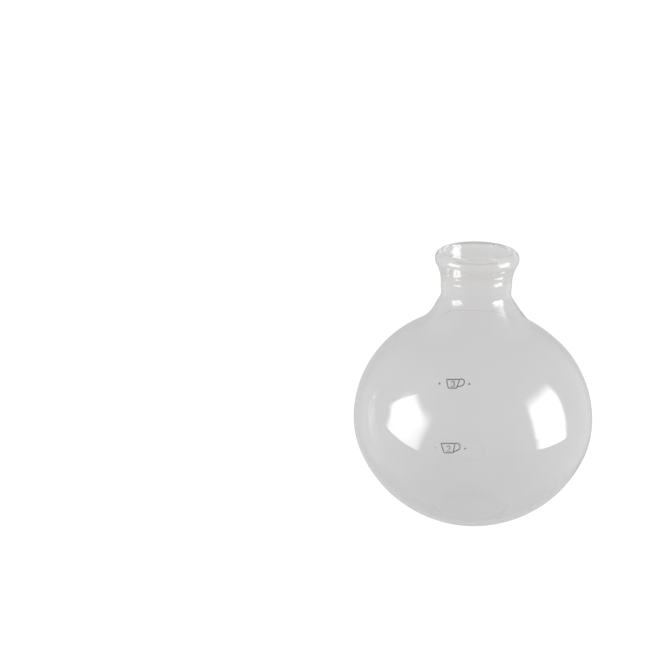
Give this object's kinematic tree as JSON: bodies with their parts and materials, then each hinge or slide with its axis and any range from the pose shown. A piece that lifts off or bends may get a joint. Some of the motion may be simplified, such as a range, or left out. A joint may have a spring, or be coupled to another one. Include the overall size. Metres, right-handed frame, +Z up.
{
  "type": "siphon coffee maker lower bowl",
  "caption": "Clear blown-glass bowl with a round belly, pressed flat foot, waisted neck and rolled lip; it holds the water that a siphon coffee maker boils.",
  "frame": {"origin": "middle of the flat foot, on the surface that the bowl stands on", "axes": "+Z up through the middle of the mouth; -Y is the side with the level marks, turned a little to -X"},
  "size_m": [0.098, 0.098, 0.1132],
  "materials": {
    "clear_glass": "clear heat-proof glass, blown and fire-polished"
  },
  "bodies": {
    "root": {"glass_bowl": "clear_glass"}
  },
  "joints": []
}
